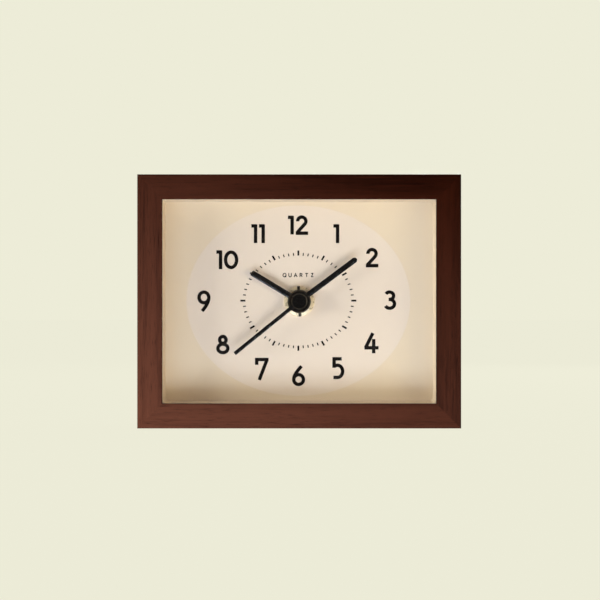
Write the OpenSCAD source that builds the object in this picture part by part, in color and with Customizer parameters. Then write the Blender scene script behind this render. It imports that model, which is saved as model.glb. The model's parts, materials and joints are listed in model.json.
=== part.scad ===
// Quartz desk clock: a mitred wooden frame holds a glass pane, a moulded dial tray with three hands,
// a battery quartz movement and a plastic rear cover with a hinged battery door.
// The front faces -Y, +Z is up, and the origin is the middle of the underside. Millimetres.

/* [Frame] */
// Width over the outside of the wooden frame
case_w = 130; // [126:1:150]
// Height of the wooden frame
case_h = 102; // [100:1:120]
// Depth of the wooden frame, front to back
case_d = 50; // [48:1:60]
// Width of the frame's front face
rail_face = 10; // [9.5:0.5:12]
// How far the front lip stands inward of the rails
lip_w = 2; // [1.5:0.5:3]
// Thickness of the front lip
lip_t = 3; // [2:0.5:4]

/* [Window and dial] */
// Thickness of the glass pane
glass_t = 2; // [1.5:0.5:3]
// How far the tray's walls lean inward from the rim to the dial face
tray_lean = 0.65; // [0.3:0.05:1.5]
// Depth of the dial face below the rim
dial_depth = 10.5; // [10:0.5:12]
// Wall thickness of the dial tray
tray_t = 1.5; // [1:0.1:1.8]

/* [Hands] */
// Length of the hour hand from the centre
hour_len = 22.5; // [18:0.5:24]
// Width of the hour hand
hour_w = 2.35; // [1.5:0.05:3]
// Angle of the hour hand, clockwise from 12
hour_angle = 301.1; // [0:0.1:360]
// Length of the minute hand from the centre
minute_len = 29.0; // [24:0.2:32]
// Width of the minute hand
minute_w = 2.25; // [1.5:0.05:3]
// Angle of the minute hand, clockwise from 12
minute_angle = 53.3; // [0:0.1:360]
// Length of the second hand from the centre
second_len = 33.6; // [28:0.1:36]
// Width of the second hand
second_w = 1.55; // [1:0.05:2]
// Angle of the second hand, clockwise from 12
second_angle = 231.0; // [0:0.1:360]
// Radius of the hub disc on the hour hand
hub_r = 4.75; // [4:0.05:5.5]

/* [Movement] */
// Side of the square movement case
move_side = 56; // [55:0.5:58]
// Thickness of the movement case
move_t = 16; // [16:0.5:18]
// Radius of the central nut
nut_r = 6.2; // [5.6:0.1:7]

/* [Hidden] */
$fn = 64;

walnut = "#4a2417";
walnut_dark = "#3c1c12";
pale_wood = "#c9a26b";
cream = "#e4d8c4";
black = "#1c1c1d";
brass = "#c8a04a";
steel = "#b4b6b8";
natural = "#dcdcd6";

// Frame
axis_z = case_h / 2;
board = rail_face - lip_w;
rebate_w = case_w - 2 * board;
rebate_h = case_h - 2 * board;
window_w = case_w - 2 * rail_face;
window_h = case_h - 2 * rail_face;
fit_gap = 0.3;
front_y = -case_d / 2;
spline_size = [1.5, 37, 6];
block = 9;

// Window and dial, from front to back
glass_y = front_y + lip_t;
rim_y = glass_y + glass_t;
dial_y = rim_y + dial_depth;
rim_t = 2;
rim_set_back = 0.1;
dial_t = 2;
tray_corner = 1.5;
dial_back = dial_y + dial_t;

// Movement, from front to back
washer_t = 0.8;
move_y = dial_back + washer_t;
move_wall = 1.2;
floor_y = move_y + move_wall;
move_back = move_y + move_t;
lid_y = move_back - move_wall;
half_in = move_side / 2 - move_wall;
bay_top = -11.6;
cell_at = -19.2;
bridge_y = floor_y + 11.3;
bridge_t = 0.8;

// Rear cover and battery door
cover_y = move_back + 0.7;
cover_t = 2;
cover_mid = cover_y + cover_t / 2;
door_half = 28;
door_top = -10.7;
hinge_z = -26.8;
hinge_r = 0.9;
hinge_pin_r = 0.6;
screw_in = 4.5;

// Radial clearance of every turning fit
run = 0.08;
slide_gap = 0.05;

// Concentric shafts
arbor_r = 0.5;
cannon_r = 1.15;
hour_tube_r = 1.75;
bush_r = 3.75;
pivot_r = 0.4;

// Layers of the train, measured from the movement's inner floor
wheel_t = 0.8;
pinion_t = 1.1;
hour_y = floor_y + 0.5;
work_y = floor_y + 1.6;
centre_y = floor_y + 2.7;
third_y = floor_y + 4.3;
second_y = floor_y + 6.1;
inter_y = floor_y + 7.5;
magnet_y = floor_y + 8.5;
stator_y = floor_y + 8.9;
stator_t = 0.8;
pivot_y = floor_y + 0.3;
pivot_end = bridge_y + bridge_t - 0.1;

// Teeth and tooth sizes of the train
rotor_teeth = 12;
inter_teeth = 60;
inter_leaves = 8;
second_teeth = 48;
second_leaves = 8;
third_teeth = 64;
third_leaves = 8;
centre_teeth = 60;
cannon_leaves = 12;
work_teeth = 36;
work_leaves = 10;
hour_teeth = 40;
rotor_mod = 0.2;
third_mod = 0.25;
work_mod = 0.3125;
train_dist = (second_leaves + third_teeth) * third_mod / 2;
centre_mod = 2 * train_dist / (third_leaves + centre_teeth);
inter_mod = 2 * train_dist / (inter_leaves + second_teeth);
work_dist = (cannon_leaves + work_teeth) * work_mod / 2;
hour_mod = 2 * work_dist / (work_leaves + hour_teeth);
rotor_dist = (rotor_teeth + inter_teeth) * rotor_mod / 2;

// Directions between the axes, anticlockwise from +X as seen from the front
third_dir = 120;
inter_dir = 190;
rotor_dir = 150;
work_dir = 20;
knob_dir = 60;
function polar(d, a) = [d * cos(a), d * sin(a)];
third_at = polar(train_dist, third_dir);
inter_at = polar(train_dist, inter_dir);
rotor_at = inter_at + polar(rotor_dist, rotor_dir);
work_at = polar(work_dist, work_dir);
knob_at = work_at + polar(work_dist, knob_dir);

// Turn of gear B that puts its teeth in the gaps of gear A; B lies in direction dir from A
function meshed(dir, teeth_a, turn_a, teeth_b) =
    dir + 180 - (0.5 - (dir - turn_a) * teeth_a / 360) * 360 / teeth_b;
third_turn = meshed(third_dir, second_leaves, 0, third_teeth);
centre_turn = meshed(third_dir + 180, third_leaves, 0, centre_teeth);
inter_turn = meshed(inter_dir, second_teeth, 0, inter_leaves);
rotor_turn = meshed(rotor_dir, inter_teeth, 0, rotor_teeth);
work_turn = meshed(work_dir, cannon_leaves, 0, work_teeth);
hour_turn = meshed(work_dir + 180, work_leaves, 0, hour_teeth);
knob_turn = meshed(knob_dir, work_teeth, work_turn, cannon_leaves);

// One tooth: height from the pitch circle in modules, and place in tooth pitches
tooth = [[-1.1, -0.26], [0, -0.17], [0.75, -0.08], [0.75, 0.08], [0, 0.17], [-1.1, 0.26]];
function gear_points(teeth, mod) = [
    for (i = [0 : teeth - 1], p = tooth) polar((teeth / 2 + p[0]) * mod, (i + p[1]) * 360 / teeth)
];

// Stack in front of the dial
nut_t = 2.2;
bush_end = dial_y - nut_t - 0.3;
hour_hand_y = bush_end - 1.3;
minute_hand_y = hour_hand_y - 1.4;
second_hand_y = minute_hand_y - 1.3;
hand_t = 0.6;
cap_r = 3.3;
cap_front = second_hand_y - 1.2;

// Coil and circuit
coil_z = 22;
coil_y = stator_y + stator_t;
coil_left = -21.5;
coil_right = -6.6;
board_y = floor_y + 9.5;
board_t = 0.8;

// ---- helpers ----

// Extrudes a shape drawn as seen from the front, so that it fills y to y + t
module plate(y, t) {
    translate([0, y + t, 0]) rotate([90, 0, 0]) linear_extrude(t) children();
}

// A disc or post along Y that fills y to y + t
module disc(y, t, r) {
    translate([0, y, 0]) rotate([-90, 0, 0]) cylinder(h = t, r = r);
}

module at(p) {
    translate([p[0], 0, p[1]]) children();
}

// Moves to the hands' axis
module on_axis() {
    translate([0, 0, axis_z]) children();
}

module box(low, high) {
    translate(low) cube(high - low);
}

module rounded(w, h, r) {
    square([w - 2 * r, h], center = true);
    square([w, h - 2 * r], center = true);
    for (x = [-1, 1], y = [-1, 1]) {
        translate([x * (w / 2 - r), y * (h / 2 - r)]) circle(r);
    }
}

module gear(y, t, teeth, mod, turn = 0) {
    plate(y, t) rotate(turn) polygon(gear_points(teeth, mod));
}

// A wheel's rim, hub and spokes: gear with windows cut between the spokes
module spoked_gear(y, t, teeth, mod, turn, hub, spokes = 4) {
    rim_r = (teeth / 2 - 2.6) * mod;
    plate(y, t) difference() {
        rotate(turn) polygon(gear_points(teeth, mod));
        difference() {
            circle(rim_r);
            circle(hub);
            for (i = [0 : spokes - 1]) {
                rotate(i * 360 / spokes) translate([0, -0.5]) square([rim_r, 1]);
            }
        }
    }
}

// ---- wooden frame ----

module frame_ring() {
    difference() {
        box([-case_w / 2, front_y, 0], [case_w / 2, -front_y, case_h]);
        translate([0, 0, axis_z]) {
            cube([window_w, case_d + 2, window_h], center = true);
            translate([0, lip_t, 0]) cube([rebate_w, case_d, rebate_h], center = true);
        }
    }
}

// The part of the frame between the two mitres of a rail whose outer edge is half away from the middle
module rail(half_len, half_out, turn) {
    reach = rail_face + 2;
    difference() {
        intersection() {
            frame_ring();
            on_axis() plate(front_y, case_d) rotate(turn) polygon([
                [-half_len, half_out], [half_len, half_out],
                [half_len - reach, half_out - reach], [-half_len + reach, half_out - reach]
            ]);
        }
        splines();
    }
}

module splines() {
    inset = board / 2;
    for (sx = [-1, 1], sz = [-1, 1]) {
        translate([sx * (case_w / 2 - inset), 1.5, axis_z + sz * (case_h / 2 - inset)])
            rotate([0, sx * sz * 45, 0])
                cube([spline_size[2], spline_size[1], spline_size[0]], center = true);
    }
}

module top_rail() {
    color(walnut_dark) rail(case_w / 2, case_h / 2, 0);
}

module bottom_rail() {
    color(walnut_dark) rail(case_w / 2, case_h / 2, 180);
}

module left_rail() {
    color(walnut) rail(case_h / 2, case_w / 2, 90);
}

module right_rail() {
    color(walnut) rail(case_h / 2, case_w / 2, -90);
}

module mitre_splines() {
    color(pale_wood) splines();
}

// Glue blocks in the corners, which back the dial tray and take the cover's screws
module corner_blocks() {
    y = dial_back + slide_gap;
    inset = block / 2;
    color(pale_wood) on_axis() plate(y, cover_y - y)
        for (sx = [-1, 1], sz = [-1, 1]) {
            translate([sx * (rebate_w / 2 - inset), sz * (rebate_h / 2 - inset)]) difference() {
                square(block, center = true);
                circle(1.1);
            }
        }
}

// ---- window and dial ----

module glass_pane() {
    color("#dfe8e6", 0.35) on_axis() plate(glass_y, glass_t)
        square([rebate_w - fit_gap, rebate_h - fit_gap], center = true);
}

// The tray's inside, grown on every side, from the rim to the plane at y = back
module tray_shape(back, grow = 0) {
    rim_half = [window_w / 2 + rim_set_back + grow, window_h / 2 + rim_set_back + grow];
    foot_half = rim_half - [tray_lean, tray_lean];
    hull() {
        plate(rim_y - 0.5, 0.5) rounded(2 * rim_half.x, 2 * rim_half.y, tray_corner + grow);
        plate(back - 0.2, 0.2) rounded(2 * foot_half.x, 2 * foot_half.y, tray_corner + grow);
    }
}

module dial_tray() {
    color(cream) on_axis() difference() {
        union() {
            plate(rim_y, rim_t) square([rebate_w - fit_gap, rebate_h - fit_gap], center = true);
            intersection() {
                tray_shape(dial_back, tray_t);
                plate(rim_y, dial_back - rim_y) square([rebate_w, rebate_h], center = true);
            }
        }
        tray_shape(dial_y);
        disc(dial_y - 1, dial_t + 2, bush_r + 0.2);
    }
}

// ---- rear cover and battery door ----

module screw_places() {
    for (sx = [-1, 1], sz = [-1, 1]) {
        at([sx * (rebate_w / 2 - screw_in), sz * (rebate_h / 2 - screw_in)]) children();
    }
}

module rear_cover() {
    color(black) on_axis() difference() {
        union() {
            plate(cover_y, cover_t) square([rebate_w - fit_gap, rebate_h - fit_gap], center = true);
            at(knob_at) disc(cover_y + cover_t, 0.8, 8);
        }
        at(knob_at) disc(cover_y - 1, cover_t + 3, 6.8);
        box([-door_half - fit_gap, cover_y - 1, hinge_z - hinge_r - 0.2],
            [door_half + fit_gap, cover_y + cover_t + 1, door_top + fit_gap]);
        at([0, door_top]) disc(cover_y - 1, cover_t + 2, 6);
        screw_places() disc(cover_y - 1, cover_t + 2, 1.6);
        translate([-door_half - 2, cover_mid, hinge_z]) rotate([0, 90, 0])
            cylinder(h = 2 * door_half + 4, r = hinge_pin_r + run);
    }
}

module cover_screws() {
    color(steel) on_axis() screw_places() difference() {
        union() {
            disc(cover_y - 8, cover_t + 8, 1.1);
            disc(cover_y + cover_t, 0.6, 2.4);
            translate([0, cover_y + cover_t + 0.6, 0]) rotate([-90, 0, 0]) cylinder(h = 0.7, r1 = 2.4, r2 = 1.7);
        }
        for (turn = [0, 90]) {
            translate([0, cover_y + cover_t + 1, 0]) rotate([0, turn, 0]) cube([2.6, 1.4, 0.5], center = true);
        }
    }
}

module battery_door() {
    plate_y = cover_mid - 0.8;
    color(black) on_axis() {
        difference() {
            union() {
                box([-door_half, plate_y, hinge_z], [door_half, plate_y + 1.6, door_top]);
                at([0, door_top]) intersection() {
                    disc(plate_y, 1.6, 5.6);
                    box([-6, plate_y, 0], [6, plate_y + 1.6, 6]);
                }
                for (i = [0 : 2]) {
                    box([-5, plate_y + 1.5, -13.4 - 1.6 * i], [5, plate_y + 2.1, -12.6 - 1.6 * i]);
                }
            }
            box([-door_half + 2, plate_y - 1, hinge_z + 2], [door_half - 2, plate_y + 0.5, door_top - 2]);
        }
        translate([-door_half, cover_mid, hinge_z]) rotate([0, 90, 0]) cylinder(h = 2 * door_half, r = hinge_r);
        translate([-door_half - 1.6, cover_mid, hinge_z]) rotate([0, 90, 0])
            cylinder(h = 2 * door_half + 3.2, r = hinge_pin_r);
    }
}

// ---- movement case ----

module movement_front_case() {
    color(black) on_axis() difference() {
        union() {
            difference() {
                plate(move_y, move_t) rounded(move_side, move_side, 2);
                box([-half_in, floor_y, bay_top + move_wall], [half_in, move_back + 1, half_in]);
                box([-half_in, floor_y, -half_in], [half_in, move_back + 1, bay_top]);
            }
            for (p = [third_at, inter_at, rotor_at, knob_at]) at(p) disc(floor_y - 0.1, 1.3, 1.4);
            for (p = [[-15.5, -7.5], [13.5, -7], [-15, 11]]) at(p) disc(floor_y - 0.1, bridge_y - floor_y + 0.1, 1);
            for (p = [[-23.2, coil_z], [-4.7, coil_z]]) at(p) disc(floor_y - 0.1, stator_y - floor_y + 0.1, 1.3);
            for (p = [[6, 24], [23, 17]]) at(p) disc(floor_y - 0.1, board_y - floor_y + 0.1, 1);
            at(work_at) disc(floor_y - 0.1, 2.6, 0.6);
        }
        disc(move_y - 1, move_wall + 2, bush_r + slide_gap);
        for (p = [third_at, inter_at, rotor_at]) at(p) disc(floor_y, 2, pivot_r + run);
        at(knob_at) disc(floor_y, 2, 0.7 + run);
        for (sx = [-1, 1]) translate([sx * 26.4, floor_y + 8.4, bay_top]) cube([0.8, 7.6, 4], center = true);
    }
}

module movement_rear_case() {
    low = bay_top + move_wall + 0.1;
    color("#2a2a2c") on_axis() difference() {
        union() {
            box([-half_in + 0.1, lid_y, low], [half_in - 0.1, move_back, half_in - 0.1]);
            at(knob_at) disc(lid_y - 1, 1.1, 2.6);
        }
        at(knob_at) disc(lid_y - 2, move_wall + 3, 1.2 + run);
        for (i = [0 : 5]) {
            box([-20, move_back - 0.4, 8 + 2.4 * i], [-2, move_back + 1, 9 + 2.4 * i]);
        }
    }
}

// Threaded brass bush that the hour tube turns in; its flange lies on the front case's inner floor
module central_bush() {
    pitch = 0.75;
    minor_r = bush_r - 0.35;
    threads = floor((move_y - bush_end) / pitch) - 1;
    color(brass) on_axis() difference() {
        union() {
            disc(bush_end, floor_y - bush_end, minor_r);
            disc(move_y, move_wall, bush_r);
            disc(floor_y, 0.3, 4.8);
            for (i = [0 : threads - 1]) {
                translate([0, bush_end + 0.2 + pitch * i, 0]) rotate([-90, 0, 0]) {
                    cylinder(h = pitch / 2, r1 = minor_r, r2 = bush_r);
                    translate([0, 0, pitch / 2]) cylinder(h = pitch / 2, r1 = bush_r, r2 = minor_r);
                }
            }
        }
        disc(bush_end - 1, floor_y - bush_end + 3, hour_tube_r + run);
    }
}

module dial_washer() {
    color("#303030") on_axis() difference() {
        disc(dial_back, washer_t, 10);
        disc(dial_back - 1, washer_t + 2, bush_r + 0.1);
    }
}

// Round brass nut with two spanner slots
module central_nut() {
    y = dial_y - nut_t;
    color(brass) on_axis() difference() {
        union() {
            disc(y + 0.4, nut_t - 0.4, nut_r);
            translate([0, y, 0]) rotate([-90, 0, 0]) cylinder(h = 0.4, r1 = nut_r - 0.4, r2 = nut_r);
        }
        disc(y - 1, nut_t + 2, bush_r + slide_gap);
        rotate([0, -2.9, 0]) for (s = [-1, 1]) {
            translate([0, y, s * (nut_r - 0.6)]) cube([1, 3.4, 2.2], center = true);
        }
    }
}

module train_bridge() {
    posts = [[-15.5, -7.5], [13.5, -7], [-15, 11]];
    color(natural) on_axis() difference() {
        plate(bridge_y, bridge_t) {
            for (p = posts) translate(p) circle(2);
            polygon([[-17.5, -7.5], [-17, -9], [14, -9], [15.5, -7], [9, 1], [2, 12], [-14, 13], [-17, 11]]);
        }
        disc(bridge_y - 1, 3, arbor_r + run);
        for (p = [third_at, inter_at, rotor_at]) at(p) disc(bridge_y - 1, 3, pivot_r + run);
    }
}

// ---- motor ----

module stator() {
    color(steel) on_axis() plate(stator_y, stator_t) difference() {
        polygon([
            [-24.5, -2], [-11, -2], [-11, 10], [-3.2, 17], [-3.2, 24], [-6.2, 24], [-6.2, 18.2],
            [-13.4, 11.6], [-13.4, 5.6], [-21.9, 5.6], [-21.9, 24], [-24.5, 24]
        ]);
        translate(rotor_at) circle(2.1);
        for (s = [-1, 1]) translate(rotor_at + [s * 2.1, s * 0.6]) circle(0.45);
        for (x = [-23.2, -4.7]) translate([x, coil_z]) circle(0.6);
    }
}

module coil_core() {
    color(steel) on_axis() difference() {
        box([-24.5, coil_y, coil_z - 1.2], [-3.2, coil_y + 0.9, coil_z + 1.2]);
        for (x = [-23.2, -4.7]) at([x, coil_z]) disc(coil_y - 1, 3, 0.6);
    }
}

// Fills x to x + len with a rectangle of half size hy by hz round the core
module along_core(x, len, hy, hz) {
    box([x, coil_y + 0.45 - hy, coil_z - hz], [x + len, coil_y + 0.45 + hy, coil_z + hz]);
}

module coil_bobbin() {
    length = coil_right - coil_left;
    color("#2f6b3c") on_axis() difference() {
        union() {
            along_core(coil_left, length, 1.1, 1.9);
            along_core(coil_left, 0.8, 2.6, 3.6);
            along_core(coil_right - 0.8, 0.8, 2.6, 3.6);
        }
        along_core(coil_left - 1, length + 2, 0.47, 1.22);
    }
}

module coil_winding() {
    length = coil_right - coil_left - 1.7;
    color("#a5552a") on_axis() difference() {
        along_core(coil_left + 0.85, length, 2.3, 3.2);
        along_core(coil_left, length + 2, 1.1, 1.9);
    }
}

module stator_screws() {
    color(steel) on_axis() for (x = [-23.2, -4.7]) at([x, coil_z]) difference() {
        union() {
            disc(stator_y, coil_y + 0.9 - stator_y, 0.6);
            disc(coil_y + 0.9, 0.8, 1.3);
        }
        translate([0, coil_y + 1.7, 0]) cube([3, 0.7, 0.4], center = true);
    }
}

// ---- circuit and battery ----

module circuit_board() {
    color("#27553a") on_axis() difference() {
        plate(board_y, board_t) polygon([[3, 13.5], [25, 13.5], [25, 25.6], [1, 25.6], [1, 19]]);
        for (p = [[6, 24], [23, 17]]) at(p) disc(board_y - 1, 3, 0.5);
    }
}

module control_chip() {
    color(black) on_axis() at([12, 19]) {
        disc(board_y + board_t, 0.3, 3);
        translate([0, board_y + board_t + 0.3, 0]) rotate([-90, 0, 0]) cylinder(h = 0.6, r1 = 3, r2 = 1.9);
    }
}

module quartz_crystal() {
    can_y = board_y + board_t + 1.02;
    color(steel) on_axis() translate([16.6, can_y, 23]) {
        rotate([0, 90, 0]) cylinder(h = 6, r = 1);
        for (s = [-1, 1]) {
            box([-1.8, -0.15 - 0.87, s * 0.5 - 0.15], [0, 0.15 - 0.87, s * 0.5 + 0.15]);
            box([-0.4, -1.02, s * 0.5 - 0.15], [0.1, 0.15, s * 0.5 + 0.15]);
        }
    }
}

module positive_contact() {
    color(steel) on_axis() {
        box([26.2, floor_y + 7, -25], [26.6, floor_y + 10, 16]);
        box([26.2, floor_y + 3, -25], [26.6, floor_y + 12, -13]);
        box([23.5, board_y - 0.4, 14], [26.3, board_y, 16]);
        translate([25.7, cell_y(), cell_at]) rotate([0, 90, 0]) cylinder(h = 0.6, r = 2);
    }
}

function cell_y() = floor_y + 7.2;

module negative_contact() {
    strip_y = board_y + board_t;
    color(steel) on_axis() {
        box([-26.6, floor_y + 3, -25], [-26.2, floor_y + 12, -13]);
        box([-26.6, floor_y + 9, -25], [-26.2, floor_y + 12, -9.9]);
        box([-26.6, strip_y, -10.3], [22, strip_y + 1.6, -9.9]);
        box([21.6, strip_y, -10.3], [22, strip_y + 1.6, 16]);
        box([19.5, strip_y, 14.5], [22, strip_y + 0.4, 16]);
        translate([0, cell_y() - 2, 0]) rotate([-90, 0, 0]) linear_extrude(4)
            polygon([[-26.3, 24.5], [-26.3, 23.9], [-25.1, 19.5], [-26.3, 15], [-26.3, 14.4], [-24.95, 19.5]]);
    }
}

module cell_tube(x, len, r) {
    translate([x, cell_y(), cell_at]) rotate([0, 90, 0]) cylinder(h = len, r = r);
}

module battery_cell() {
    color(steel) on_axis() {
        cell_tube(-24.9, 49.2, 6.95);
        cell_tube(24.2, 1.45, 2.7);
    }
}

module battery_sleeve() {
    color("#7d8f96") on_axis() difference() {
        cell_tube(-24.6, 48.6, 7.1);
        cell_tube(-25.6, 51, 6.95);
    }
}

// ---- train, from the motor to the hands ----

module rotor_pinion() {
    color(natural) on_axis() at(rotor_at) {
        disc(pivot_y, pivot_end - pivot_y, pivot_r);
        gear(inter_y - 0.15, pinion_t, rotor_teeth, rotor_mod, rotor_turn);
    }
}

module rotor_magnet() {
    color("#3b3b3f") on_axis() at(rotor_at) difference() {
        disc(magnet_y, 1.8, 1.5);
        disc(magnet_y - 1, 4, pivot_r);
    }
}

module intermediate_wheel() {
    color(natural) on_axis() at(inter_at) {
        disc(pivot_y, pivot_end - pivot_y, pivot_r);
        disc(second_y + pinion_t - 0.3, inter_y - second_y - 0.5, 1);
        gear(second_y - 0.15, pinion_t, inter_leaves, inter_mod, inter_turn);
        spoked_gear(inter_y, wheel_t, inter_teeth, rotor_mod, 0, 1.3);
    }
}

module second_wheel() {
    color(natural) on_axis() {
        disc(second_hand_y + 0.1, pivot_end - second_hand_y - 0.1, arbor_r);
        gear(third_y - 0.15, pinion_t, second_leaves, third_mod);
        disc(third_y + pinion_t - 0.3, second_y - third_y - pinion_t + 0.4, 0.9);
        spoked_gear(second_y, wheel_t, second_teeth, inter_mod, 0, 1.6);
    }
}

module third_wheel() {
    color("#e0c9a0") on_axis() at(third_at) {
        disc(pivot_y, pivot_end - pivot_y, pivot_r);
        gear(centre_y - 0.15, pinion_t, third_leaves, centre_mod);
        spoked_gear(third_y, wheel_t, third_teeth, third_mod, third_turn, 1.4);
    }
}

// Friction fit on the back of the cannon pinion
module centre_wheel() {
    color("#e0c9a0") on_axis() difference() {
        spoked_gear(centre_y, wheel_t, centre_teeth, centre_mod, centre_turn, 2.4);
        disc(centre_y - 1, 3, 1.4);
    }
}

module cannon_pinion() {
    color(brass) on_axis() difference() {
        union() {
            disc(minute_hand_y - 0.2, centre_y + wheel_t - minute_hand_y + 0.3, cannon_r);
            disc(centre_y, wheel_t + 0.1, 1.4);
            gear(work_y - 0.05, centre_y - work_y + 0.05, cannon_leaves, work_mod);
        }
        disc(minute_hand_y - 2, centre_y - minute_hand_y + 5, arbor_r + run);
    }
}

module minute_work_wheel() {
    color(natural) on_axis() at(work_at) difference() {
        union() {
            gear(hour_y, work_y - hour_y + 0.1, work_leaves, hour_mod);
            spoked_gear(work_y, wheel_t, work_teeth, work_mod, work_turn, 1.6);
        }
        disc(hour_y - 1, 4, 0.6 + run);
    }
}

module hour_wheel() {
    color(natural) on_axis() difference() {
        union() {
            disc(hour_hand_y - 0.1, hour_y - hour_hand_y + 0.2, hour_tube_r);
            spoked_gear(hour_y, wheel_t, hour_teeth, hour_mod, hour_turn, 2.6);
        }
        disc(hour_hand_y - 2, hour_y - hour_hand_y + 4, cannon_r + run);
    }
}

// Knob, stem and pinion in one moulding; it turns the minute work
module set_knob() {
    knob_r = 5.2;
    grips = 24;
    edge = [for (i = [0 : 4 * grips - 1]) polar(knob_r + 0.25 * cos(90 * i), i * 90 / grips)];
    color("#2b2b2d") on_axis() at(knob_at) {
        disc(pivot_y, 3, 0.7);
        disc(centre_y - 0.1, cover_y - centre_y, 1.2);
        gear(work_y - 0.05, pinion_t, cannon_leaves, work_mod, knob_turn);
        disc(move_back + 0.3, 1, 3);
        plate(move_back + 0.8, 5) polygon(edge);
        disc(move_back + 5.7, 0.5, 4.2);
    }
}

// ---- hands ----

// A hand pointing at 12, domed across its width
module hand_blade(y, length, width, tip_r) {
    dome_r = width * 1.1;
    intersection() {
        plate(y, hand_t) {
            translate([-width / 2, 0]) square([width, length - tip_r]);
            translate([0, length - tip_r]) rounded(width, 2 * tip_r, min(tip_r, width / 2) - 0.01);
        }
        translate([0, y + dome_r, 0]) cylinder(h = length + 1, r = dome_r);
    }
}

// A hub disc with a chamfered front edge
module hub(y, t, r, chamfer) {
    disc(y + chamfer, t - chamfer, r);
    translate([0, y, 0]) rotate([-90, 0, 0]) cylinder(h = chamfer, r1 = r - chamfer, r2 = r);
}

module hour_hand() {
    color(black) on_axis() rotate([0, hour_angle, 0]) difference() {
        union() {
            hand_blade(hour_hand_y, hour_len, hour_w, 0.45);
            hub(hour_hand_y - 0.1, hand_t + 0.1, hub_r, 0.25);
            disc(hour_hand_y, 1.1, 2.7);
        }
        disc(hour_hand_y - 2, 5, hour_tube_r);
    }
}

module minute_hand() {
    color(black) on_axis() rotate([0, minute_angle, 0]) difference() {
        union() {
            hand_blade(minute_hand_y, minute_len, minute_w, minute_w / 2);
            hub(minute_hand_y - 0.1, hand_t + 0.1, hub_r - 0.35, 0.25);
            disc(minute_hand_y, 1, 2.2);
        }
        disc(minute_hand_y - 2, 5, cannon_r);
    }
}

module second_hand() {
    color(black) on_axis() rotate([0, second_angle, 0]) difference() {
        union() {
            hand_blade(second_hand_y, second_len, second_w, 0.3);
            hub(cap_front, second_hand_y + hand_t - cap_front, cap_r, 0.35);
            disc(second_hand_y, 0.9, 1.4);
        }
        disc(second_hand_y + 0.1, 3, arbor_r);
    }
}

top_rail();
bottom_rail();
left_rail();
right_rail();
mitre_splines();
corner_blocks();
glass_pane();
dial_tray();
rear_cover();
cover_screws();
battery_door();
movement_front_case();
movement_rear_case();
central_bush();
dial_washer();
central_nut();
train_bridge();
stator();
coil_core();
coil_bobbin();
coil_winding();
stator_screws();
circuit_board();
control_chip();
quartz_crystal();
positive_contact();
negative_contact();
battery_cell();
battery_sleeve();
rotor_pinion();
rotor_magnet();
intermediate_wheel();
second_wheel();
third_wheel();
centre_wheel();
cannon_pinion();
minute_work_wheel();
hour_wheel();
set_knob();
hour_hand();
minute_hand();
second_hand();
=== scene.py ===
"""The looks of a small wooden desk clock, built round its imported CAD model.

Metres, in the CAD frame: the dial faces -Y, +Z is up, +X is right as seen from the front.
"""

import json
import math

import bmesh
import bpy
from mathutils import Matrix, Vector


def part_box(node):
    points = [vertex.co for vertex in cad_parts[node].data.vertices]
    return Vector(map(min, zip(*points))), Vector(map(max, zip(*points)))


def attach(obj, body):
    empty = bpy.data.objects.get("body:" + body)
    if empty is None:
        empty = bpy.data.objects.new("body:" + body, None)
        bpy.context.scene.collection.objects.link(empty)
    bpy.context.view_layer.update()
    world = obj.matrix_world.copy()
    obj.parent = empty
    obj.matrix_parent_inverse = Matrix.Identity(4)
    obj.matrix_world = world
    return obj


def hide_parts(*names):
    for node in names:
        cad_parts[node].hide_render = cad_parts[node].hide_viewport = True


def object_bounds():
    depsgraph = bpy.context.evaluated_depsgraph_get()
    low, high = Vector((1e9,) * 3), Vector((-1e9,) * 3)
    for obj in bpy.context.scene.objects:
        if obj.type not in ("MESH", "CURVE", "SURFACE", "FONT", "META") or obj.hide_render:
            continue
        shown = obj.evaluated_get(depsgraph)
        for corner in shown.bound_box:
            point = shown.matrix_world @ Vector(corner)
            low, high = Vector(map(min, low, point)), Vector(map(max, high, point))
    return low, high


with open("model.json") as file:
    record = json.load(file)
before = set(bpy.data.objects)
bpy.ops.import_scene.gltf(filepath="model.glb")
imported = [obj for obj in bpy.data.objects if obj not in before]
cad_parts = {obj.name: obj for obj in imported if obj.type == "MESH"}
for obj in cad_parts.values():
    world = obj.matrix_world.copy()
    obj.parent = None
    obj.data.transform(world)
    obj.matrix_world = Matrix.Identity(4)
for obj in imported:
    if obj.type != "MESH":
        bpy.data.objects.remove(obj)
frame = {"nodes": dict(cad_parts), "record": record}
cad_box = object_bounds()
MM = 0.001

# ---- places that the CAD model gives ----

case_low, case_high = cad_box
tray_low, tray_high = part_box("dial_tray")
cover_low, cover_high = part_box("rear_cover")
door_low, door_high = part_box("battery_door")
knob_low, knob_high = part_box("set_knob")
nut_low, nut_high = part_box("central_nut")

# The hands' axis crosses y = 0 here, in the middle of the frame
CENTRE = Vector((0.0, 0.0, (case_low.z + case_high.z) / 2))
# Half sizes of the window in the frame and of the rebate behind it, with the clearance round the cover
WINDOW_HALF = Vector((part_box("right_rail")[0].x, 0.0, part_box("top_rail")[0].z - CENTRE.z))
FIT_GAP = 0.15 * MM
REBATE_HALF = Vector((cover_high.x + FIT_GAP, 0.0, cover_high.z - CENTRE.z + FIT_GAP))
# Depths: the back of the frame's lip, the front of the tray's rim, and the dial's two sides
LIP_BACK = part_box("glass_pane")[0].y
RIM_FRONT = tray_low.y
DIAL_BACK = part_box("dial_washer")[0].y
DIAL_THICK = 2.0 * MM
DIAL_FACE = DIAL_BACK - DIAL_THICK


# ---- outlines, as lists of (x, z) points seen from the front ----

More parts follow.
